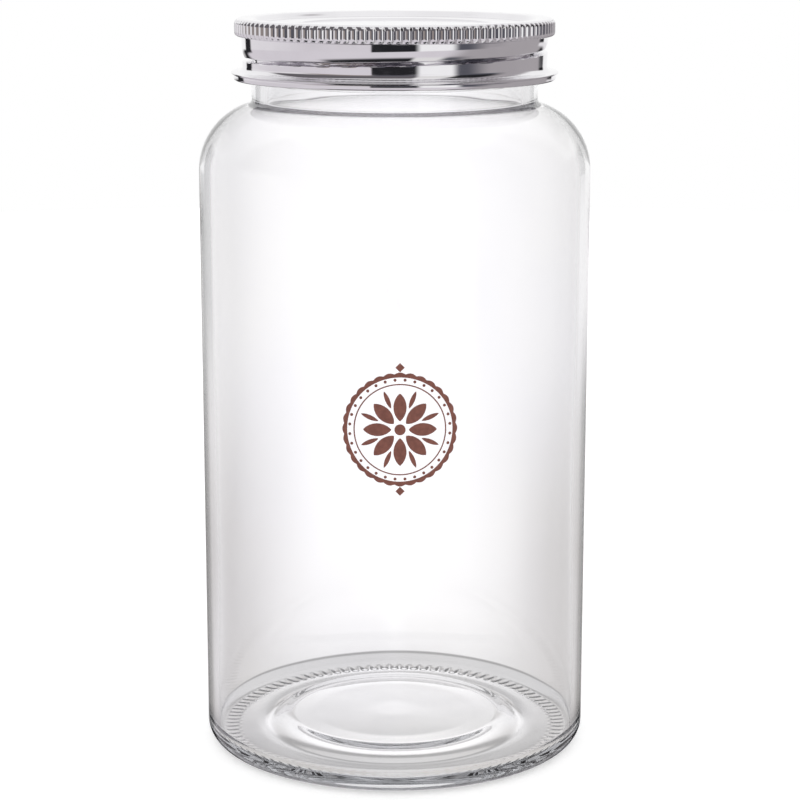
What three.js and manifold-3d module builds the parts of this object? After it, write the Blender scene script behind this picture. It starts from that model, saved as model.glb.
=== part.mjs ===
// A screw-top food jar of clear glass with a pressed metal lid. Millimetres, +Z up.
// The origin is at the centre of the jar's underside. The front of the jar faces -Y.

import * as THREE from 'three';
import { mergeVertices } from 'three/addons/utils/BufferGeometryUtils.js';
import Module from 'manifold-3d';

const wasm = await Module();
wasm.setup();

// Driving dimensions of the glass
const bodyRadius = 55;
const wallThickness = 3;
const shoulderFoot = 166; // height at which the wall starts to roll in
const shoulderRoll = 19; // radius of the shoulder, outside
const neckRadius = 40;
const neckFillet = 1.5; // the small round where the shoulder meets the neck
const neckTop = 192.8; // height at which the neck steps in to the threaded wall
const finishRadius = 38.5; // the wall that carries the thread
const boreRadius = 35.8;
const boreFillet = 1.6; // the round inside, under the neck
const innerRise = 1.11; // the wall thins towards the top of the shoulder
const lipTop = 205.8;
const heelWidth = 3.8;
const heelHeight = 4.8;
const floorCorner = 3.2; // radius where the inner wall meets the floor
const floorCentre = 7.6;
const floorEdge = 4.4;
const floorStep = 34.5; // radius at which the floor steps up to its raised middle
const pushUpHeight = 3.4; // the underside is raised in the middle
const pushUpRadius = 33; // and steps down here
const stepHalf = 4; // half the width of both steps
const dish = 0.3; // how much lower the floor and the push-up are at their edge

// Driving dimensions of the lid
const lidTop = 208;
const sheet = 0.4; // thickness of the metal
const rimRadius = 43.76;
const rimWidth = 4.4; // the raised ring round the sunk panel
const panelDepth = 1.5;
const bandTop = 207.2; // the knurled band
const bandBottom = 203.2;
const ribCrest = 44.6;
const ribValley = 44.05;
const ribCount = 116;
const skirtRadius = 42.75;
const skirtBottom = 194.2;
const curlRadius = 45.65; // the curled edge at the foot of the skirt
const curlTop = 193.4;
const curlBottom = 191.1;
const curlLipWidth = 0.7; // the curl's thin upper lip stands out past its round foot
const curlFootRadius = 0.55;

// The screw thread, shared by the glass and the lid
const threadPitch = 5.08;
const frontAngle = 270; // degrees, counted from +X towards +Y
const grooveHeightAtFront = 197.9;
const grooveDepth = 3.1;
const grooveStart = 130;
const grooveEnd = 440;
const threadAboveGroove = 2.9;
const threadStart = 105;
const threadEnd = 400;
const threadCrest = 2.5; // how far the glass thread stands out
const threadRunOut = 0.06; // the share of its length over which each end sinks

// Small ribs under the heel, on which the jar stands
const gripCount = 96;
const gripHeight = 0.45;
const gripInner = 46.8;
const gripOuter = 51.1;
const gripBase = 1.7;
const gripTip = 0.9;

const roundSegments = 48;
const skirtRows = 11;

const radians = THREE.MathUtils.degToRad;
const point = (radius, height) => new THREE.Vector2(radius, height);

// Points on an arc of a section, angles in degrees from the outward direction
function arc(centre, radiusAcross, radiusUp, from, to, steps) {
  const points = [];
  for (let i = 0; i <= steps; i++) {
    const angle = radians(from + ((to - from) * i) / steps);
    points.push(point(centre.x + radiusAcross * Math.cos(angle), centre.y + radiusUp * Math.sin(angle)));
  }
  return points;
}

// A small round between the shoulder's arc and an upright wall above it
function shoulderFillet(arcRadius, uprightRadius, filletRadius, steps) {
  const foot = point(bodyRadius - shoulderRoll, shoulderFoot);
  const across = uprightRadius + filletRadius - foot.x;
  const reach = arcRadius + filletRadius;
  const up = Math.sqrt(reach * reach - across * across);
  const meet = THREE.MathUtils.radToDeg(Math.atan2(up, across));
  const centre = point(foot.x + across, foot.y + up);
  return { meet, points: arc(centre, filletRadius, filletRadius, meet + 180, 180, steps) };
}

// Turns a section round the Z axis
function turn(section) {
  return new THREE.LatheGeometry(section, roundSegments).rotateX(Math.PI / 2);
}

// A closed geometry as a solid that can be joined with others
function toSolid(geometry) {
  const bare = geometry.clone();
  bare.deleteAttribute('normal');
  bare.deleteAttribute('uv');
  const merged = mergeVertices(bare, 1e-4);
  const index = merged.getIndex().array;
  const corner = (i) => new THREE.Vector3().fromBufferAttribute(merged.getAttribute('position'), index[i]);
  const triangles = [];
  let volume = 0;
  for (let i = 0; i < index.length; i += 3) {
    const [a, b, c] = [index[i], index[i + 1], index[i + 2]];
    if (a === b || b === c || c === a) continue;
    triangles.push(a, b, c);
    volume += corner(i).dot(corner(i + 1).cross(corner(i + 2)));
  }
  if (volume < 0) triangles.reverse();
  return new wasm.Manifold(new wasm.Mesh({
    numProp: 3,
    vertProperties: new Float32Array(merged.getAttribute('position').array),
    triVerts: new Uint32Array(triangles),
  }));
}

// A joined solid as a named mesh
function toMesh(name, solid, material) {
  const result = solid.getMesh();
  const geometry = new THREE.BufferGeometry();
  geometry.setAttribute('position', new THREE.BufferAttribute(result.vertProperties, result.numProp));
  geometry.setIndex(new THREE.BufferAttribute(result.triVerts, 1));
  geometry.computeVertexNormals();
  const mesh = new THREE.Mesh(geometry, material);
  mesh.name = name;
  return mesh;
}

// Height of the lid's groove at an angle round the jar
const grooveHeight = (degrees) => grooveHeightAtFront + (threadPitch * (degrees - frontAngle)) / 360;

// The glass: underside, heel, wall, shoulder, neck, lip, bore and floor
function glassSection() {
  const shoulderCentre = point(bodyRadius - shoulderRoll, shoulderFoot);
  const innerRoll = shoulderRoll - wallThickness;
  const outer = shoulderFillet(shoulderRoll, neckRadius, neckFillet, 2);
  const inner = shoulderFillet(innerRoll, boreRadius, boreFillet, 2);
  const rise = (p) => point(p.x, shoulderFoot + (p.y - shoulderFoot) * innerRise);
  const innerRadius = bodyRadius - wallThickness;
  const lipRound = 1;
  const stepRound = 0.4;
  return [
    point(0, pushUpHeight),
    point(pushUpRadius - stepHalf, pushUpHeight - dish),
    point(pushUpRadius + stepHalf, gripHeight),
    ...arc(point(bodyRadius - heelWidth, gripHeight + heelHeight), heelWidth, heelHeight, -90, 0, 5),
    ...arc(shoulderCentre, shoulderRoll, shoulderRoll, 0, outer.meet, 8),
    ...outer.points.slice(1),
    point(neckRadius, neckTop - stepRound),
    point(neckRadius - stepRound, neckTop),
    point(finishRadius, neckTop + stepRound),
    ...arc(point(finishRadius - lipRound, lipTop - lipRound), lipRound, lipRound, 0, 90, 2),
    ...arc(point(boreRadius + lipRound, lipTop - lipRound), lipRound, lipRound, 90, 180, 2),
    ...inner.points.reverse().map(rise),
    ...arc(shoulderCentre, innerRoll, innerRoll, inner.meet, 0, 6).slice(1).map(rise),
    ...arc(point(innerRadius - floorCorner, floorEdge + floorCorner), floorCorner, floorCorner, 0, -90, 4),
    point(floorStep + stepHalf, floorEdge),
    point(floorStep - stepHalf, floorCentre - dish),
    point(0, floorCentre),
  ];
}

// The path of the glass thread, which sinks into the wall at both ends
class ThreadPath extends THREE.Curve {
  getPoint(t, target = new THREE.Vector3()) {
    const degrees = threadStart + (threadEnd - threadStart) * t;
    const sink = Math.max(0, 1 - Math.min(t, 1 - t) / threadRunOut);
    const radius = finishRadius - threadCrest * sink;
    const height = grooveHeight(degrees) + threadAboveGroove;
    return target.set(radius * Math.cos(radians(degrees)), radius * Math.sin(radians(degrees)), height);
  }
}

function glassThread() {
  const halfFoot = 1.5;
  const halfCrest = 0.6;
  const buried = 0.8;
  const section = new THREE.Shape([
    point(-halfFoot, buried),
    point(-halfFoot, 0),
    point(-halfCrest, -threadCrest),
    point(halfCrest, -threadCrest),
    point(halfFoot, 0),
    point(halfFoot, buried),
  ]);
  const turns = (threadEnd - threadStart) / 360;
  const steps = Math.round(roundSegments * turns);
  return new THREE.ExtrudeGeometry(section, { steps, bevelEnabled: false, extrudePath: new ThreadPath() });
}

// One short radial rib under the heel, flat at its foot
function grip(degrees) {
  const buried = 0.4;
  const section = new THREE.Shape([
    point(-gripTip / 2, 0),
    point(gripTip / 2, 0),
    point(gripBase / 2, gripHeight),
    point(gripBase / 2, gripHeight + buried),
    point(-gripBase / 2, gripHeight + buried),
    point(-gripBase / 2, gripHeight),
  ]);
  return new THREE.ExtrudeGeometry(section, { depth: gripOuter - gripInner, bevelEnabled: false })
    .rotateX(Math.PI / 2)
    .translate(0, gripOuter, 0)
    .rotateZ(radians(degrees));
}

function makeGlass() {
  let glass = toSolid(turn(glassSection())).add(toSolid(glassThread()));
  for (let i = 0; i < gripCount; i++) {
    glass = glass.add(toSolid(grip((360 * i) / gripCount)));
  }
  return glass;
}

// Heights of the rows down the lid's skirt, the same inside and out
function skirtHeights() {
  const top = bandBottom - sheet;
  return Array.from({ length: skirtRows }, (_, i) => top + ((skirtBottom - top) * i) / (skirtRows - 1));
}

// The lid: under the panel, down inside the skirt, round the curl, up outside and over the rim
function lidSection() {
  const panelTop = lidTop - panelDepth;
  const underPanel = panelTop - sheet;
  const rimInner = rimRadius - rimWidth;
  const rimRound = 0.6;
  const footOuter = curlRadius - curlLipWidth;
  const footCentre = point(footOuter - curlFootRadius, curlBottom + curlFootRadius);
  const heights = skirtHeights();
  return [
    point(0, underPanel),
    point(rimRadius - sheet, underPanel),
    point(rimRadius - sheet, bandBottom),
    ...heights.map((height) => point(skirtRadius - sheet, height)),
    point(skirtRadius - sheet, curlTop - sheet),
    point(footOuter - 2 * curlFootRadius, curlTop - 2 * sheet),
    ...arc(footCentre, curlFootRadius, curlFootRadius, 180, 360, 4),
    point(footOuter, curlTop - 2 * sheet),
    point(curlRadius, curlTop - sheet),
    point(curlRadius - sheet / 2, curlTop),
    point(skirtRadius, curlTop),
    ...heights.reverse().map((height) => point(skirtRadius, height)),
    point(rimRadius, bandBottom),
    ...arc(point(rimRadius - rimRound, lidTop - rimRound), rimRound, rimRound, 0, 90, 2),
    point(rimInner + rimRound, lidTop),
    point(rimInner, lidTop - rimRound),
    point(rimInner - rimRound, panelTop),
    point(0, panelTop),
  ];
}

// How far the skirt is pressed in at a height and an angle, as a share of the groove's depth
function groovePress(height, degrees) {
  const ledge = 0.9; // the sharp lower side of the groove
  const slope = 3.2; // the long upper side
  const runOut = 22;
  const above = height - grooveHeight(degrees);
  const across = above < 0
    ? THREE.MathUtils.smoothstep(above, -ledge, 0)
    : 1 - THREE.MathUtils.smoothstep(above, 0, slope);
  const startShare = THREE.MathUtils.smoothstep(degrees, grooveStart - runOut, grooveStart);
  const endShare = 1 - THREE.MathUtils.smoothstep(degrees, grooveEnd, grooveEnd + runOut);
  return across * startShare * endShare;
}

// Presses the helical groove into the skirt, the inside following the outside
function pressGroove(geometry) {
  const position = geometry.getAttribute('position');
  const [top] = skirtHeights();
  const slack = 0.01;
  for (let i = 0; i < position.count; i++) {
    const [x, y, z] = [position.getX(i), position.getY(i), position.getZ(i)];
    if (z > top - slack || z < skirtBottom + slack) continue;
    const degrees = (THREE.MathUtils.radToDeg(Math.atan2(y, x)) + 360) % 360;
    const press = Math.max(groovePress(z, degrees), groovePress(z, degrees + 360));
    const radius = Math.hypot(x, y);
    const scale = (radius - grooveDepth * press) / radius;
    position.setXY(i, x * scale, y * scale);
  }
  return geometry;
}

// The knurled band: a ring whose outline has one flat-topped rib after another
function knurledBand() {
  const outline = [];
  const step = 360 / ribCount;
  const halfFoot = 0.34; // shares of the distance from rib to rib
  const halfCrest = 0.16;
  const corners = [
    [-halfFoot, ribValley],
    [-halfCrest, ribCrest],
    [halfCrest, ribCrest],
    [halfFoot, ribValley],
  ];
  for (let i = 0; i < ribCount; i++) {
    for (const [share, radius] of corners) {
      const angle = radians((i + share) * step);
      outline.push(point(radius * Math.cos(angle), radius * Math.sin(angle)));
    }
  }
  const ring = new THREE.Shape(outline);
  const holeRadius = rimRadius - sheet / 2; // inside the metal of the rim
  const hole = arc(point(0, 0), holeRadius, holeRadius, 360, 0, roundSegments).slice(1);
  ring.holes.push(new THREE.Path(hole));
  return new THREE.ExtrudeGeometry(ring, { depth: bandTop - bandBottom, bevelEnabled: false })
    .translate(0, 0, bandBottom);
}

function makeLid() {
  return toSolid(pressGroove(turn(lidSection()))).add(toSolid(knurledBand()));
}

const clearGlass = new THREE.MeshStandardMaterial({
  color: 0xe6eaeb,
  roughness: 0.04,
  metalness: 0,
  transparent: true,
  opacity: 0.35,
});

const brightMetal = new THREE.MeshStandardMaterial({
  color: 0xd8d7dc,
  roughness: 0.12,
  metalness: 1,
});

const foodJar = new THREE.Group();
foodJar.add(toMesh('jar', makeGlass(), clearGlass));
foodJar.add(toMesh('lid', makeLid(), brightMetal));

export default foodJar;
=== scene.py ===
# Screw-top food jar: clear glass, bright metal screw lid, one-colour print on the front
import math

import bmesh
import bpy
from mathutils import Matrix, Vector, noise


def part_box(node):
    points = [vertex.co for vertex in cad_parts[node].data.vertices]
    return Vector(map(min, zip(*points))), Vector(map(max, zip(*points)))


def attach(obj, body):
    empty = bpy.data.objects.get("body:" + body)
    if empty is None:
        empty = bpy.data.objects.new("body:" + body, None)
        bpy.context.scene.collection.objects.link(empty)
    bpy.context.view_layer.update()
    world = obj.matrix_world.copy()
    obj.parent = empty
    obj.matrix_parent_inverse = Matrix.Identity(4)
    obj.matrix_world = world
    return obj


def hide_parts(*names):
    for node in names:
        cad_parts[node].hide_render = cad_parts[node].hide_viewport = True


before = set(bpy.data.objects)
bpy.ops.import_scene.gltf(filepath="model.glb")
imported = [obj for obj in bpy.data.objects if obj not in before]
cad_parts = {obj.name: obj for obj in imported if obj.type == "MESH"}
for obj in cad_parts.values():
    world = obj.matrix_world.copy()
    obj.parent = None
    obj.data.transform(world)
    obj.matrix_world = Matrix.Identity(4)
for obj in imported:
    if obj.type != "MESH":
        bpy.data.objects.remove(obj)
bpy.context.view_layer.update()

mm = 0.001  # sections are drawn in millimetres, finished meshes are in metres
slack = 0.01  # a vertex this close to a place counts as there
sharpAngle = 50.0  # edges that turn by more than this many degrees stay sharp
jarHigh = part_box("jar")[1] / mm
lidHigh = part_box("lid")[1] / mm


def smoothStep(value, low, high):
    share = min(1, max(0, (value - low) / (high - low)))
    return share * share * (3 - 2 * share)


# Sections are drawn in the XZ plane, with the newest vertex as the pen
def startSection(radius, height):
    bm = bmesh.new()
    bm.verts.new((radius, 0, height))
    return bm


def lineTo(bm, radius, height, parts=1):
    bm.verts.ensure_lookup_table()
    start = bm.verts[-1].co.copy()
    end = Vector((radius, 0, height))
    for part in range(1, parts + 1):
        bm.verts.ensure_lookup_table()
        pen = bmesh.ops.extrude_vert_indiv(bm, verts=[bm.verts[-1]])["verts"][0]
        pen.co = start.lerp(end, part / parts)


def arcTo(bm, centreRadius, centreHeight, degrees, steps):
    bm.verts.ensure_lookup_table()
    bmesh.ops.spin(
        bm,
        geom=[bm.verts[-1]],
        cent=(centreRadius, 0, centreHeight),
        axis=(0, -1, 0),
        dvec=(0, 0, 0),
        angle=math.radians(degrees),
        steps=steps,
        use_duplicate=False,
    )


# A soft step to another height
def stepTo(bm, radius, height, parts):
    bm.verts.ensure_lookup_table()
    start = bm.verts[-1].co.copy()
    for part in range(1, parts + 1):
        share = part / parts
        rise = smoothStep(share, 0, 1)
        lineTo(bm, start.x + (radius - start.x) * share, start.z + (height - start.z) * rise)


# One sector is spun from the section, and copies of it make up the full turn, which is much faster
def turnSection(bm, steps, sectors=16):
    axis = {"cent": (0, 0, 0), "axis": (0, 0, 1), "dvec": (0, 0, 0)}
    sector = math.tau / sectors
    section = bm.verts[:] + bm.edges[:]
    bmesh.ops.spin(bm, geom=section, angle=sector, steps=steps // sectors, use_duplicate=False, **axis)
    wedge = bm.verts[:] + bm.edges[:] + bm.faces[:]
    bmesh.ops.spin(bm, geom=wedge, angle=math.tau - sector, steps=sectors - 1, use_duplicate=True, **axis)
    bmesh.ops.remove_doubles(bm, verts=bm.verts[:], dist=1e-4)
    bmesh.ops.recalc_face_normals(bm, faces=bm.faces[:])


def finishPiece(bm, name, material):
    bmesh.ops.scale(bm, vec=(mm, mm, mm), verts=bm.verts[:])
    mesh = bpy.data.meshes.new(name)
    bm.to_mesh(mesh)
    bm.free()
    mesh.shade_smooth()
    mesh.set_sharp_from_angle(angle=math.radians(sharpAngle))
    mesh.materials.append(material)
    piece = bpy.data.objects.new(name, mesh)
    bpy.context.collection.objects.link(piece)
    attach(piece, "root")
    print(name, len(mesh.polygons), "faces")
    return piece


def radiusOf(vert):
    return math.hypot(vert.co.x, vert.co.y)


def angleOf(vert):
    return math.degrees(math.atan2(vert.co.y, vert.co.x)) % 360


def pushOut(vert, amount):
    radius = radiusOf(vert)
    vert.co.x *= (radius + amount) / radius
    vert.co.y *= (radius + amount) / radius


# A wrapped socket takes part in expressions, and each operator adds its Math node
class Value:
    def __init__(self, nodes, socket):
        self.nodes = nodes
        self.socket = socket

    def maths(self, operation, first, second):
        return self.nodes.add("ShaderNodeMath", {"operation": operation}, {0: first, 1: second})

    def __sub__(self, other):
        return self.maths("SUBTRACT", self, other)

    def __rsub__(self, other):
        return self.maths("SUBTRACT", other, self)

    def __mul__(self, other):
        return self.maths("MULTIPLY", self, other)

    def __rmul__(self, other):
        return self.maths("MULTIPLY", other, self)


class Nodes:
    def __init__(self, owner):
        owner.use_nodes = True
        self.tree = owner.node_tree
        self.tree.nodes.clear()

    # Settings come first, then values or links by socket name or number
    def add(self, kind, settings, inputs, output=0):
        node = self.tree.nodes.new(kind)
        for name, setting in settings.items():
            setattr(node, name, setting)
        for name, given in inputs.items():
            if isinstance(given, Value):
                self.tree.links.new(given.socket, node.inputs[name])
            else:
                node.inputs[name].default_value = given
        return Value(self, node.outputs[output]) if node.outputs else None

    def spread(self, value, low, high, toLow=0.0, toHigh=1.0):
        return self.add(
            "ShaderNodeMapRange",
            {"interpolation_type": "SMOOTHSTEP"},
            {"Value": value, "From Min": low, "From Max": high, "To Min": toLow, "To Max": toHigh},
        )

    def mixColour(self, factor, first, second):
        return self.add("ShaderNodeMix", {"data_type": "RGBA"}, {0: factor, 6: first, 7: second}, 2)

    def scaleColour(self, colour, amount):
        return self.add("ShaderNodeVectorMath", {"operation": "MULTIPLY"}, {0: colour, 1: amount})

    def objectPlace(self):
        return self.add("ShaderNodeTexCoord", {}, {}, "Object")

    def noiseAt(self, place, scale, detail=2.0):
        return self.add("ShaderNodeTexNoise", {}, {"Vector": place, "Scale": scale, "Detail": detail})

    def bump(self, height, strength, distance):
        inputs = {"Strength": strength, "Distance": distance, "Height": height}
        return self.add("ShaderNodeBump", {}, inputs)


def newMaterial(name):
    material = bpy.data.materials.new(name)
    return material, Nodes(material)


# The screw thread that glass and lid share, angles in degrees from +X towards +Y
thread = {
    "pitch": 5.08,
    "frontAngle": 270.0,
    "grooveAtFront": 197.9,
    "aboveGroove": 2.9,  # how far the glass thread lies above the lid's groove
    "start": 105.0,
    "end": 400.0,
    "halfFoot": 1.5,
    "crest": 2.5,
    "runOut": 18.0,
    "aboveStep": 1.0,  # the thread starts this far above the step in the neck
}


def grooveHeight(degrees):
    return thread["grooveAtFront"] + thread["pitch"] * (degrees - thread["frontAngle"]) / 360


# Clear glass
glass = {
    "steps": 576,
    "inset": 0.05,  # the wall stands this much inside the solid, which leaves room for the print
    "wall": 3.0,
    "shoulderFoot": 166.0,
    "shoulderRoll": 19.0,
    "neck": 40.0,
    "neckFillet": 1.5,
    "neckTop": 192.8,
    "neckStep": 0.4,
    "finish": 38.5,
    "bore": 35.8,
    "boreFillet": 1.6,
    "innerRise": 1.11,  # the wall thins towards the top of the shoulder
    "lipRound": 1.0,
    "heelWidth": 3.8,
    "heelHeight": 4.8,
    "floorCorner": 3.2,
    "floorCentre": 7.6,
    "floorEdge": 4.4,
    "floorStep": 34.5,  # where the floor steps up to its raised middle
    "pushUp": 3.4,
    "pushUpRadius": 33.0,
    "stepHalf": 4.0,
    "dish": 0.3,
    "grips": 96,
    "gripHeight": 0.45,
    "gripInner": 46.8,
    "gripOuter": 51.1,
    "wave": 0.12,  # unevenness of the inner wall
    "waveLength": 26.0,
    "waveStretch": 2.0,  # the unevenness is this much longer up the wall than round it
    "waveStart": 15.0,  # it grows over this height above the floor
    "waveEnd": (150.0, 165.0),  # and fades out between these heights
    "clearTints": ((0.965, 0.96, 0.975, 1), (0.985, 0.98, 0.98, 1)),
    "cloudScale": 14.0,
    "smearScale": 30.0,
    "smear": 0.02,  # roughness where the glass has been handled
    "rippleScale": 45.0,
    "rippleStrength": 0.05,
    "rippleHeight": 0.0006,
    "depthTint": (0.55, 0.56, 0.58, 1),  # thick glass looks grey
    "depthDensity": 18.0,
}


def makeGlassMaterial():
    material, nodes = newMaterial("clearGlass")
    place = nodes.objectPlace()
    cloud = nodes.spread(nodes.noiseAt(place, glass["cloudScale"]), 0.3, 0.7)
    smear = nodes.noiseAt(place, glass["smearScale"], 4.0)
    ripple = nodes.noiseAt(place, glass["rippleScale"], 1.0)
    inputs = {
        "Base Color": nodes.mixColour(cloud, *glass["clearTints"]),
        "Roughness": nodes.spread(smear, 0.55, 0.8, 0.0, glass["smear"]),
        "IOR": 1.5,
        "Transmission Weight": 1.0,
        "Normal": nodes.bump(ripple, glass["rippleStrength"], glass["rippleHeight"]),
    }
    shader = nodes.add("ShaderNodeBsdfPrincipled", {}, inputs)
    absorbed = {"Color": glass["depthTint"], "Density": glass["depthDensity"]}
    depth = nodes.add("ShaderNodeVolumeAbsorption", {}, absorbed)
    nodes.add("ShaderNodeOutputMaterial", {}, {"Surface": shader, "Volume": depth})
    return material


# Where a small round joins the shoulder's roll to an upright wall: its centre, and the angle of the joint
def shoulderRound(roll, upright, fillet):
    across = upright + fillet - (jarHigh.x - glass["shoulderRoll"])
    up = math.sqrt((roll + fillet) ** 2 - across**2)
    joint = math.degrees(math.atan2(up, across))
    return upright + fillet, glass["shoulderFoot"] + up, joint


def drawGlassSection():
    body = jarHigh.x - glass["inset"]
    inner = body - glass["wall"]
    lip = jarHigh.z
    foot = glass["gripHeight"]
    rollCentre = jarHigh.x - glass["shoulderRoll"]
    outerRoll = body - rollCentre
    innerRoll = inner - rollCentre
    step, lipRound, corner = glass["neckStep"], glass["lipRound"], glass["floorCorner"]

    bm = startSection(0, glass["pushUp"])
    lineTo(bm, glass["pushUpRadius"] - glass["stepHalf"], glass["pushUp"] - glass["dish"], 5)
    stepTo(bm, glass["pushUpRadius"] + glass["stepHalf"], foot, 10)
    lineTo(bm, body - glass["heelWidth"], foot, 14)
    heelStart = len(bm.verts)
    arcTo(bm, body - glass["heelWidth"], foot + glass["heelWidth"], 90, 10)
    bm.verts.ensure_lookup_table()
    for vert in bm.verts[heelStart:]:
        vert.co.z = foot + (vert.co.z - foot) * glass["heelHeight"] / glass["heelWidth"]
    lineTo(bm, body, glass["shoulderFoot"], 3)

    centre, height, joint = shoulderRound(outerRoll, glass["neck"], glass["neckFillet"])
    arcTo(bm, rollCentre, glass["shoulderFoot"], joint, 18)
    arcTo(bm, centre, height, -joint, 6)
    lineTo(bm, glass["neck"], glass["neckTop"] - step, 3)
    lineTo(bm, glass["neck"] - step, glass["neckTop"])
    lineTo(bm, glass["finish"], glass["neckTop"] + step)
    lineTo(bm, glass["finish"], lip - lipRound, 22)
    arcTo(bm, glass["finish"] - lipRound, lip - lipRound, 90, 4)
    lineTo(bm, glass["bore"] + lipRound, lip)
    arcTo(bm, glass["bore"] + lipRound, lip - lipRound, 90, 4)

    centre, height, joint = shoulderRound(innerRoll, glass["bore"], glass["boreFillet"])
    lineTo(bm, glass["bore"], height, 4)
    riseStart = len(bm.verts) - 1
    arcTo(bm, centre, height, joint, 8)
    arcTo(bm, rollCentre, glass["shoulderFoot"], -joint, 16)
    bm.verts.ensure_lookup_table()
    for vert in bm.verts[riseStart:]:
        vert.co.z = glass["shoulderFoot"] + (vert.co.z - glass["shoulderFoot"]) * glass["innerRise"]
    lineTo(bm, inner, glass["floorEdge"] + corner, 12)
    arcTo(bm, inner - corner, glass["floorEdge"] + corner, -90, 12)
    lineTo(bm, glass["floorStep"] + glass["stepHalf"], glass["floorEdge"], 3)
    stepTo(bm, glass["floorStep"] - glass["stepHalf"], glass["floorCentre"] - glass["dish"], 10)
    lineTo(bm, 0, glass["floorCentre"], 5)
    return bm


# Small ribs under the heel, round in section and rounded off at both ends
def raiseGrips(bm):
    middle = (glass["gripInner"] + glass["gripOuter"]) / 2
    half = (glass["gripOuter"] - glass["gripInner"]) / 2
    for vert in bm.verts:
        off = abs(radiusOf(vert) - middle) / half
        if off < 1 and vert.co.z < glass["gripHeight"] + slack:
            ridge = 0.5 + 0.5 * math.cos(math.radians(angleOf(vert) * glass["grips"]))
            vert.co.z -= glass["gripHeight"] * ridge * math.sqrt(1 - off**4)


def raiseThread(bm):
    low = glass["neckTop"] + thread["aboveStep"]
    for vert in bm.verts:
        if radiusOf(vert) < glass["finish"] - slack or vert.co.z < low:
            continue
        degrees = angleOf(vert)
        for turn in (degrees, degrees + 360):
            off = abs(vert.co.z - grooveHeight(turn) - thread["aboveGroove"]) / thread["halfFoot"]
            inEnd = smoothStep(turn, thread["start"], thread["start"] + thread["runOut"])
            outEnd = 1 - smoothStep(turn, thread["end"] - thread["runOut"], thread["end"])
            if off < 1:
                pushOut(vert, thread["crest"] * inEnd * outEnd * (1 - off**2))


# The inner wall of a blown jar is never quite true
def waveInnerWall(bm):
    low = glass["floorEdge"] + glass["floorCorner"]
    inner = jarHigh.x - glass["inset"] - glass["wall"]
    for vert in bm.verts:
        onWall = abs(radiusOf(vert) - inner) < slack
        if onWall and low < vert.co.z < glass["shoulderFoot"]:
            grown = smoothStep(vert.co.z, low, low + glass["waveStart"])
            left = 1 - smoothStep(vert.co.z, *glass["waveEnd"])
            stretched = Vector((vert.co.x, vert.co.y, vert.co.z / glass["waveStretch"]))
            wave = noise.noise(stretched / glass["waveLength"])
            pushOut(vert, glass["wave"] * grown * left * wave)


def makeGlass():
    bm = drawGlassSection()
    turnSection(bm, glass["steps"])
    raiseGrips(bm)
    raiseThread(bm)
    waveInnerWall(bm)
    piece = finishPiece(bm, "glassJar", makeGlassMaterial())
    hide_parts("jar")


# Pressed metal screw lid
lid = {
    "steps": 696,
    "sectors": 8,
    "skirtRows": 56,
    "sheet": 0.4,
    "rim": 43.76,
    "rimWidth": 4.4,
    "rimRound": 0.5,
    "panelDepth": 1.5,
    "rimSlope": 1.8,  # the rim runs down to the sunk panel in a soft slope
    "bandTop": 207.6,
    "bandBottom": 203.2,
    "ribs": 116,
    "ribDepth": 0.7,
    "ribValley": 43.9,
    "ribHalf": 0.43,  # half a rib's width, as a share of the distance from rib to rib
    "skirt": 42.75,
    "skirtLean": 0.3,  # the skirt narrows this much from the band to the curl
    "skirtBottom": 195.0,
    "skirtFillet": 1.6,
    "flare": 1.0,  # round inside, where the skirt turns out to the curl
    "grooveDepth": 2.9,
    "grooveCorner": 0.5,
    "cornerShare": 0.67,  # this much of its depth is a tight corner
    "grooveStart": 130.0,
    "grooveEnd": 440.0,
    "grooveRunOut": 22.0,
    "ledge": 0.55,  # the groove's sharp lower side
    "slope": 3.4,  # its long upper side
    "slopeCurve": 2.0,  # and how late that side turns in
    "insideWider": 0.6,  # the groove is this much wider each way on the inside
    "curlTop": 193.4,
    "curlBottom": 191.1,
    "curlLip": 0.7,
    "curlFoot": 0.55,
    "wave": 0.03,  # unevenness of the skirt
    "waveLength": 14.0,
    "metalTints": ((0.80, 0.79, 0.81, 1), (0.84, 0.83, 0.85, 1)),
    "cloudScale": 60.0,
    "glossScale": 220.0,
    "gloss": (0.03, 0.08),  # lowest and highest roughness
    "rippleScale": 90.0,
    "rippleStrength": 0.04,
    "rippleHeight": 0.0004,
}


def makeMetalMaterial():
    material, nodes = newMaterial("brightMetal")
    place = nodes.objectPlace()
    cloud = nodes.spread(nodes.noiseAt(place, lid["cloudScale"], 3.0), 0.35, 0.65)
    gloss = nodes.noiseAt(place, lid["glossScale"], 4.0)
    ripple = nodes.noiseAt(place, lid["rippleScale"])
    inputs = {
        "Base Color": nodes.mixColour(cloud, *lid["metalTints"]),
        "Metallic": 1.0,
        "Roughness": nodes.spread(gloss, 0.3, 0.8, *lid["gloss"]),
        "Normal": nodes.bump(ripple, lid["rippleStrength"], lid["rippleHeight"]),
    }
    shader = nodes.add("ShaderNodeBsdfPrincipled", {}, inputs)
    nodes.add("ShaderNodeOutputMaterial", {}, {"Surface": shader})
    return material


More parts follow.
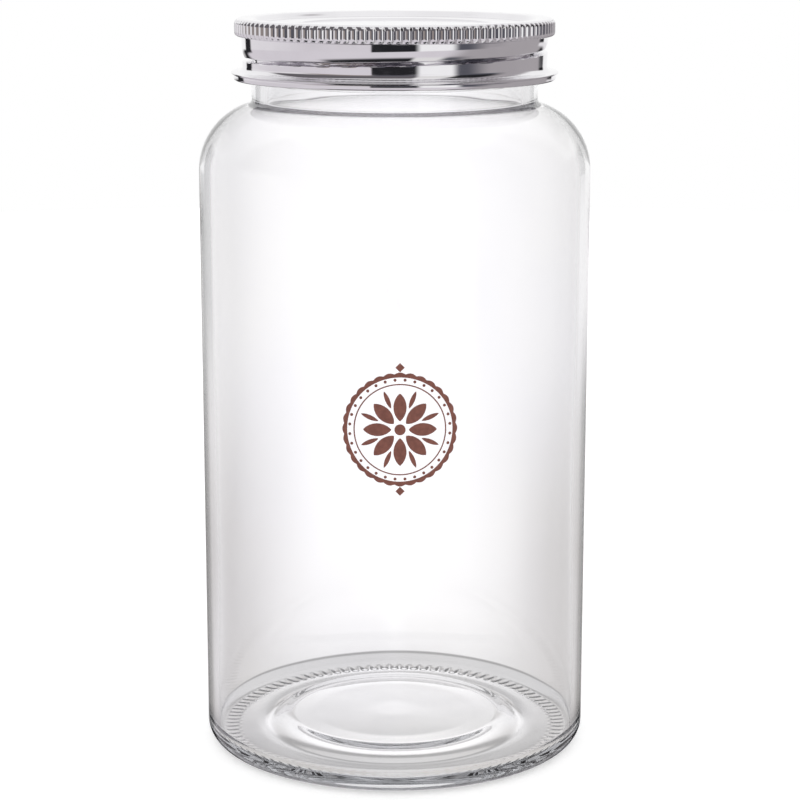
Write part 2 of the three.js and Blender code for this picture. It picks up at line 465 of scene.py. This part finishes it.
def drawLidSection():
    rim, sheet, skirt = lid["rim"], lid["sheet"], lid["skirt"]
    curl = lidHigh.x
    panel = lidHigh.z - lid["panelDepth"]
    rimInner = rim - lid["rimWidth"]
    rimRound, curlFoot = lid["rimRound"], lid["curlFoot"]
    footOuter = curl - lid["curlLip"]
    foot = skirt - lid["skirtLean"]  # the skirt's radius at its lower end
    curlTop = lid["curlTop"]
    tip = sheet / 2

    bm = startSection(0, panel - sheet)
    lineTo(bm, rim - sheet, panel - sheet, 3)
    lineTo(bm, rim - sheet, lid["bandBottom"], 2)
    lineTo(bm, skirt - sheet, lid["bandBottom"] - sheet)
    lineTo(bm, foot - sheet, lid["skirtBottom"], 14)
    arcTo(bm, foot - sheet + lid["flare"], lid["skirtBottom"], 80, 3)
    lineTo(bm, footOuter - 2 * curlFoot, curlTop - 2 * sheet)
    lineTo(bm, footOuter - 2 * curlFoot, lid["curlBottom"] + curlFoot)
    arcTo(bm, footOuter - curlFoot, lid["curlBottom"] + curlFoot, 180, 8)
    lineTo(bm, footOuter, curlTop - 2.2 * sheet)
    lineTo(bm, curl - tip, curlTop - sheet - tip / 2)
    arcTo(bm, curl - tip, curlTop - tip - tip / 2, 160, 5)
    lineTo(bm, foot + lid["skirtFillet"], curlTop, 2)
    arcTo(bm, foot + lid["skirtFillet"], curlTop + lid["skirtFillet"], -90, 6)
    lineTo(bm, skirt, lid["bandBottom"] - sheet / 4, lid["skirtRows"])
    lineTo(bm, rim, lid["bandBottom"])
    lineTo(bm, rim, lid["bandTop"], 12)
    lineTo(bm, rim, lidHigh.z - rimRound)
    arcTo(bm, rim - rimRound, lidHigh.z - rimRound, 90, 4)
    lineTo(bm, rimInner + rimRound, lidHigh.z, 2)
    for share in (0.2, 0.4, 0.6, 0.8, 1):
        drop = smoothStep(share, 0, 1) * lid["panelDepth"]
        lineTo(bm, rimInner - share * lid["rimSlope"], lidHigh.z - drop)
    lineTo(bm, 0, panel, 3)
    return bm


# How far the skirt is pressed in at a height and an angle, as a share of the groove's depth
def groovePress(height, degrees):
    above = height - grooveHeight(degrees)
    if above < 0:
        across = smoothStep(above, -lid["ledge"], 0)
    else:
        slope = max(0, 1 - above / lid["slope"]) ** lid["slopeCurve"]
        corner = max(0, 1 - above / lid["grooveCorner"])
        across = slope + (corner - slope) * lid["cornerShare"]
    inEnd = smoothStep(degrees, lid["grooveStart"] - lid["grooveRunOut"], lid["grooveStart"])
    outEnd = 1 - smoothStep(degrees, lid["grooveEnd"], lid["grooveEnd"] + lid["grooveRunOut"])
    return across * inEnd * outEnd


# The inside follows with a wider groove, so that its fewer rows stay behind the outside
def pressGroove(bm):
    top = lid["bandBottom"] - lid["sheet"] / 4 - slack
    inside = lid["skirt"] - lid["skirtLean"] - lid["sheet"] / 2
    wider = lid["insideWider"]
    for vert in bm.verts:
        if lid["skirtBottom"] + slack < vert.co.z < top:
            degrees = angleOf(vert)
            offsets = (-wider, 0, wider) if radiusOf(vert) < inside else (0,)
            turns = (degrees, degrees + 360)
            press = max(groovePress(vert.co.z + offset, turn) for offset in offsets for turn in turns)
            ripple = lid["wave"] * noise.noise(vert.co / lid["waveLength"])
            pushOut(vert, ripple - lid["grooveDepth"] * press)


# Ribs of the knurled band: each is a bulge with a rounded top and bottom
def raiseRibs(bm):
    middle = (lid["bandTop"] + lid["bandBottom"]) / 2
    halfHeight = (lid["bandTop"] - lid["bandBottom"]) / 2
    pitch = math.tau * lid["rim"] / lid["ribs"]
    halfWidth = lid["ribHalf"] * pitch
    for vert in bm.verts:
        offMiddle = abs(vert.co.z - middle)
        if radiusOf(vert) < lid["rim"] - slack or offMiddle > halfHeight + slack:
            continue
        share = (angleOf(vert) * lid["ribs"] / 360) % 1 - 0.5
        beyond = max(0, offMiddle - (halfHeight - halfWidth))
        reach = math.hypot(share * pitch, beyond) / halfWidth
        bulge = math.sqrt(max(0, 1 - reach**2))
        pushOut(vert, (lid["ribValley"] - lid["rim"]) + lid["ribDepth"] * bulge)


def makeLid():
    bm = drawLidSection()
    turnSection(bm, lid["steps"], lid["sectors"])
    pressGroove(bm)
    raiseRibs(bm)
    piece = finishPiece(bm, "screwLid", makeMetalMaterial())
    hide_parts("lid")


# One-colour print on the front: a rosette in a dotted ring, between two small lozenges
stamp = {
    "centre": (1.4, 103.0),
    "lift": 0.01,  # the print's face stands this far off the glass
    "ink": 0.03,  # its thickness, the rest of which is sunk in the glass
    "outerRing": 15.0,
    "outerWidth": 0.9,
    "scallops": 32,
    "scallop": 0.45,
    "innerRing": 12.4,
    "innerWidth": 0.35,
    "dots": 32,
    "dotRing": 13.45,
    "dot": 0.42,
    "petals": 8,
    "petalFoot": 2.3,
    "petalTip": 9.8,
    "petalWidth": 1.75,
    "petalRound": 0.6,  # below 1 the petals are blunter
    "dartFoot": 6.2,
    "dartTip": 11.2,
    "dartWidth": 0.62,
    "hub": 1.5,
    "lozenge": 1.25,
    "lozengeOff": 16.75,
    "strip": 1.0,  # width of the strips that let the print follow the round wall
    "inkTints": ((0.165, 0.052, 0.036, 1), (0.21, 0.07, 0.048, 1)),
    "mottleScale": 900.0,
    "glossScale": 1500.0,
    "gloss": (0.4, 0.6),  # lowest and highest roughness
}


def makeInkMaterial():
    material, nodes = newMaterial("brownInk")
    place = nodes.objectPlace()
    mottle = nodes.spread(nodes.noiseAt(place, stamp["mottleScale"], 3.0), 0.3, 0.7)
    gloss = nodes.noiseAt(place, stamp["glossScale"])
    inputs = {
        "Base Color": nodes.mixColour(mottle, *stamp["inkTints"]),
        "Roughness": nodes.spread(gloss, 0.3, 0.7, *stamp["gloss"]),
    }
    shader = nodes.add("ShaderNodeBsdfPrincipled", {}, inputs)
    nodes.add("ShaderNodeOutputMaterial", {}, {"Surface": shader})
    return material


def addDisc(bm, across, up, radius, segments=24):
    place = Matrix.Translation((across, up, 0))
    bmesh.ops.create_circle(bm, cap_ends=True, radius=radius, segments=segments, matrix=place)


def addRing(bm, radius, width, segments):
    verts = bmesh.ops.create_circle(bm, cap_ends=False, radius=radius, segments=segments)["verts"]
    edges = list({edge for vert in verts for edge in vert.link_edges})
    made = bmesh.ops.extrude_edge_only(bm, edges=edges)["geom"]
    inner = [item for item in made if isinstance(item, bmesh.types.BMVert)]
    shrink = (radius - width) / radius
    bmesh.ops.scale(bm, vec=(shrink, shrink, 1), verts=inner)
    return verts


# A pointed petal: a disc squeezed to nothing at both ends and stood round the hub
def addPetal(bm, degrees, foot, tip, width):
    verts = bmesh.ops.create_circle(bm, cap_ends=True, radius=1, segments=40)["verts"]
    for vert in verts:
        vert.co.x *= width * math.sqrt(max(0, 1 - vert.co.y**2)) ** stamp["petalRound"]
        vert.co.y = (foot + tip) / 2 + vert.co.y * (tip - foot) / 2
    turn = Matrix.Rotation(math.radians(degrees), 3, "Z")
    bmesh.ops.rotate(bm, cent=(0, 0, 0), matrix=turn, verts=verts)


def drawStamp(bm):
    rim = addRing(bm, stamp["outerRing"], stamp["outerWidth"], 384)
    for vert in rim:
        wave = abs(math.cos(math.radians(angleOf(vert) * stamp["scallops"] / 2)))
        pushOut(vert, stamp["scallop"] * wave)
    addRing(bm, stamp["innerRing"], stamp["innerWidth"], 128)
    for dot in range(stamp["dots"]):
        angle = math.tau * (dot + 0.5) / stamp["dots"]
        across = stamp["dotRing"] * math.cos(angle)
        addDisc(bm, across, stamp["dotRing"] * math.sin(angle), stamp["dot"], 12)
    for petal in range(stamp["petals"]):
        turn = 360 * petal / stamp["petals"]
        addPetal(bm, turn, stamp["petalFoot"], stamp["petalTip"], stamp["petalWidth"])
        turn += 180 / stamp["petals"]  # a narrow dart stands between two petals
        addPetal(bm, turn, stamp["dartFoot"], stamp["dartTip"], stamp["dartWidth"])
    addDisc(bm, 0, 0, stamp["hub"])
    for side in (-1, 1):
        addDisc(bm, 0, side * stamp["lozengeOff"], stamp["lozenge"], 4)


# Rolls the flat print on to the round wall
def wrapOnWall(bm, wallRadius):
    acrossCentre, upCentre = stamp["centre"]
    for vert in bm.verts:
        across, up, height = vert.co
        angle = (across + acrossCentre) / wallRadius
        radius = wallRadius + stamp["lift"] + height
        vert.co = (radius * math.sin(angle), -radius * math.cos(angle), upCentre + up)


def makeStamp():
    bm = bmesh.new()
    drawStamp(bm)
    strips = int(stamp["outerRing"] / stamp["strip"]) + 1
    for strip in range(-strips, strips + 1):
        geometry = bm.verts[:] + bm.edges[:] + bm.faces[:]
        cut = (strip * stamp["strip"], 0, 0)
        bmesh.ops.bisect_plane(bm, geom=geometry, plane_co=cut, plane_no=(1, 0, 0))
    bmesh.ops.recalc_face_normals(bm, faces=bm.faces[:])
    bmesh.ops.solidify(bm, geom=bm.faces[:], thickness=stamp["ink"])
    wrapOnWall(bm, jarHigh.x - glass["inset"])
    bmesh.ops.recalc_face_normals(bm, faces=bm.faces[:])
    finishPiece(bm, "frontPrint", makeInkMaterial())


# Studio: pale floor, soft surroundings and the camera
studio = {
    "floorRadius": 1.2,
    "floorColour": (0.9, 0.9, 0.9, 1),
    "floorRoughness": 0.9,
    "floorGlow": 0.38,
    "cameraBack": 0.6505,
    "cameraHeight": 0.2394,
    "cameraPitch": 12.16,
    "lens": 104.04,
    "shift": 0.0066,
    "bounces": 48,  # light runs a long way inside thick glass
}


# Only the camera and soft bounced light see the floor: gloss and glass take theirs from the surroundings
def makeFloor():
    material, nodes = newMaterial("paleFloor")
    inputs = {
        "Base Color": studio["floorColour"],
        "Roughness": studio["floorRoughness"],
        "Emission Color": (1, 1, 1, 1),
        "Emission Strength": studio["floorGlow"],
    }
    shader = nodes.add("ShaderNodeBsdfPrincipled", {}, inputs)
    clear = nodes.add("ShaderNodeBsdfTransparent", {}, {})
    glossy = nodes.add("ShaderNodeLightPath", {}, {}, "Is Glossy Ray")
    through = nodes.add("ShaderNodeLightPath", {}, {}, "Is Transmission Ray")
    unseen = nodes.add("ShaderNodeMath", {"operation": "MAXIMUM"}, {0: glossy, 1: through})
    surface = nodes.add("ShaderNodeMixShader", {}, {0: unseen, 1: shader, 2: clear})
    nodes.add("ShaderNodeOutputMaterial", {}, {"Surface": surface})
    bm = bmesh.new()
    bmesh.ops.create_circle(bm, cap_ends=True, radius=studio["floorRadius"], segments=128)
    mesh = bpy.data.meshes.new("floor")
    bm.to_mesh(mesh)
    bm.free()
    mesh.materials.append(material)
    floor = bpy.data.objects.new("floor", mesh)
    bpy.context.collection.objects.link(floor)
    print("floor laid")


white = (1.0, 1.0, 1.0, 1)
paleLilac = (0.74, 0.705, 0.745, 1)
paleGrey = (0.84, 0.83, 0.82, 1)
palest = (0.86, 0.84, 0.86, 1)
middleGrey = (0.5, 0.49, 0.49, 1)
mauve = (0.42, 0.395, 0.41, 1)
umber = (0.30, 0.265, 0.25, 1)
smoke = (0.14, 0.13, 0.14, 1)
slate = (0.10, 0.10, 0.12, 1)
dark = (0.02, 0.02, 0.023, 1)

# What gloss reflects, as bands round the jar by angle: 0 is in front, 90 to the right, 180 behind.
# Each band has the angle where it starts, how soft its edge is, and its colour.
groundBands = [
    (-180.0, 0.1, paleLilac),
    (-66.0, 8.0, dark),
    (17.0, 3.0, paleGrey),
    (46.0, 6.0, slate),
    (66.0, 12.0, mauve),
    (150.0, 8.0, paleLilac),
]
tableBands = [
    (-180.0, 0.1, middleGrey),
    (-167.0, 3.0, dark),
    (-148.0, 5.0, paleLilac),
    (50.0, 12.0, mauve),
    (148.0, 5.0, dark),
    (167.0, 3.0, middleGrey),
]
lowBands = [
    (-180.0, 0.1, middleGrey),
    (-159.0, 5.0, dark),
    (-136.0, 2.0, paleLilac),
    (-17.0, 0.8, dark),
    (17.0, 3.0, white),
    (46.0, 4.0, slate),
    (66.0, 12.0, mauve),
    (138.0, 3.0, palest),
]
highBands = [
    (-180.0, 0.1, white),
    (-149.0, 1.5, dark),
    (-136.0, 2.0, palest),
    (-66.0, 14.0, umber),
    (-17.0, 4.0, slate),
    (17.0, 3.0, white),
    (46.0, 4.0, slate),
    (85.0, 10.0, mauve),
    (138.0, 3.0, dark),
    (149.0, 2.0, white),
]
upperBands = [
    (-180.0, 0.1, white),
    (-105.0, 8.0, smoke),
    (17.0, 3.0, paleGrey),
    (46.0, 4.0, dark),
    (85.0, 10.0, mauve),
    (120.0, 10.0, white),
]
# The lowest row is groundBands. Each of these starts at an elevation, with a soft edge, above the last.
rows = [
    (-40.0, 6.0, tableBands),
    (-11.0, 2.0, lowBands),
    (-6.0, 1.5, highBands),
    (8.0, 3.0, upperBands),
    (54.0, 7.0, [(-180.0, 0.1, white)]),
]
# The backdrop seen through the glass holds painted shade: it is darker low down, close to the jar and
# behind it, where the table round the jar lies in shadow
# What is seen through the glass: pairs of heights are elevations between which one thing turns to
# another, and the other pairs are parts of the direction across the view or along it
backdrop = {
    "middle": (0.0, 0.2),  # the bright middle fades out across this
    "middleHeights": (-21.5, -15.0),
    "middleNear": 0.75,  # its brightness low down, close to the jar, dimmed as painted shade
    "middleFar": 1.25,
    "sideHeights": (-16.5, -10.0),
    "sideNear": (0.64, 0.625, 0.61, 1),
    "sideFar": (0.93, 0.93, 0.93, 1),
    "sideRound": (0.45, 0.7),  # further round, the side is as bright low down as high up
    "right": (0.04, 0.16),
    "rightLift": 1.1,
    "behind": (0.6, 0.75),  # the shades lie behind the jar only
    "floorShade": 0.46,  # painted shade: the table close behind the jar is darker
    "floorShadeTop": (-22.0, -18.0),
    "floorShadeFoot": (-29.0, -24.0),
    "upperShade": 0.3,  # and so are views up
    "upperShadeHeights": (12.0, 30.0),
}


def bandedLight(nodes, angle, bands):
    colour = white
    for start, softness, bandColour in bands:
        share = nodes.spread(angle, start - softness, start + softness)
        colour = nodes.mixColour(share, colour, bandColour)
    return colour


def makeWorld():
    world = bpy.data.worlds.new("softStudio")
    bpy.context.scene.world = world
    nodes = Nodes(world)
    direction = nodes.add("ShaderNodeTexCoord", {}, {}, "Generated")
    across = nodes.add("ShaderNodeSeparateXYZ", {}, {"Vector": direction}, "X")
    along = nodes.add("ShaderNodeSeparateXYZ", {}, {"Vector": direction}, "Y")
    up = nodes.add("ShaderNodeSeparateXYZ", {}, {"Vector": direction}, "Z")
    turned = nodes.add("ShaderNodeMath", {"operation": "ARCTAN2"}, {0: across, 1: -1 * along})
    raised = nodes.add("ShaderNodeMath", {"operation": "ARCSINE"}, {0: up})
    angle = turned * math.degrees(1)
    height = raised * math.degrees(1)

    seen = bandedLight(nodes, angle, groundBands)
    for start, softness, bands in rows:
        share = nodes.spread(height, start - softness, start + softness)
        seen = nodes.mixColour(share, seen, bandedLight(nodes, angle, bands))

    sideways = nodes.add("ShaderNodeMath", {"operation": "ABSOLUTE"}, {0: across})
    middle = 1 - nodes.spread(sideways, *backdrop["middle"])
    centre = nodes.spread(height, *backdrop["middleHeights"], backdrop["middleNear"], backdrop["middleFar"])
    far = nodes.spread(height, *backdrop["sideHeights"])
    side = nodes.mixColour(far, backdrop["sideNear"], backdrop["sideFar"])
    lift = nodes.spread(across, *backdrop["right"], 1.0, backdrop["rightLift"])
    side = nodes.scaleColour(side, lift)
    side = nodes.mixColour(nodes.spread(sideways, *backdrop["sideRound"]), side, backdrop["sideFar"])
    behind = nodes.spread(along, *backdrop["behind"])
    # Painted shade on the table low down, close behind the jar
    near = nodes.spread(height, *backdrop["floorShadeTop"], backdrop["floorShade"], 0.0)
    down = behind * near * nodes.spread(height, *backdrop["floorShadeFoot"])
    aloft = behind * nodes.spread(height, *backdrop["upperShadeHeights"], 0.0, backdrop["upperShade"])
    through = nodes.scaleColour(nodes.mixColour(middle, side, centre), 1 - down - aloft)

    glossyRay = nodes.add("ShaderNodeLightPath", {}, {}, "Is Glossy Ray")
    throughRay = nodes.add("ShaderNodeLightPath", {}, {}, "Is Transmission Ray")
    colour = nodes.mixColour(throughRay, nodes.mixColour(glossyRay, white, seen), through)
    background = nodes.add("ShaderNodeBackground", {}, {"Color": colour})
    nodes.add("ShaderNodeOutputWorld", {}, {"Surface": background})
    print("surroundings made")


def makeCamera():
    data = bpy.data.cameras.new("camera")
    data.sensor_width = 36
    data.lens = studio["lens"]
    data.shift_x = studio["shift"]
    camera = bpy.data.objects.new("camera", data)
    camera.location = (0, -studio["cameraBack"], studio["cameraHeight"])
    camera.rotation_euler = (math.radians(90 - studio["cameraPitch"]), 0, 0)
    bpy.context.collection.objects.link(camera)
    bpy.context.scene.camera = camera
    print("camera placed")


makeCamera()
makeGlass()
makeLid()
makeStamp()
makeFloor()
makeWorld()
scene = bpy.context.scene
scene.view_settings.view_transform = "Standard"
scene.cycles.max_bounces = studio["bounces"]
scene.cycles.transmission_bounces = studio["bounces"]
scene.cycles.glossy_bounces = studio["bounces"]
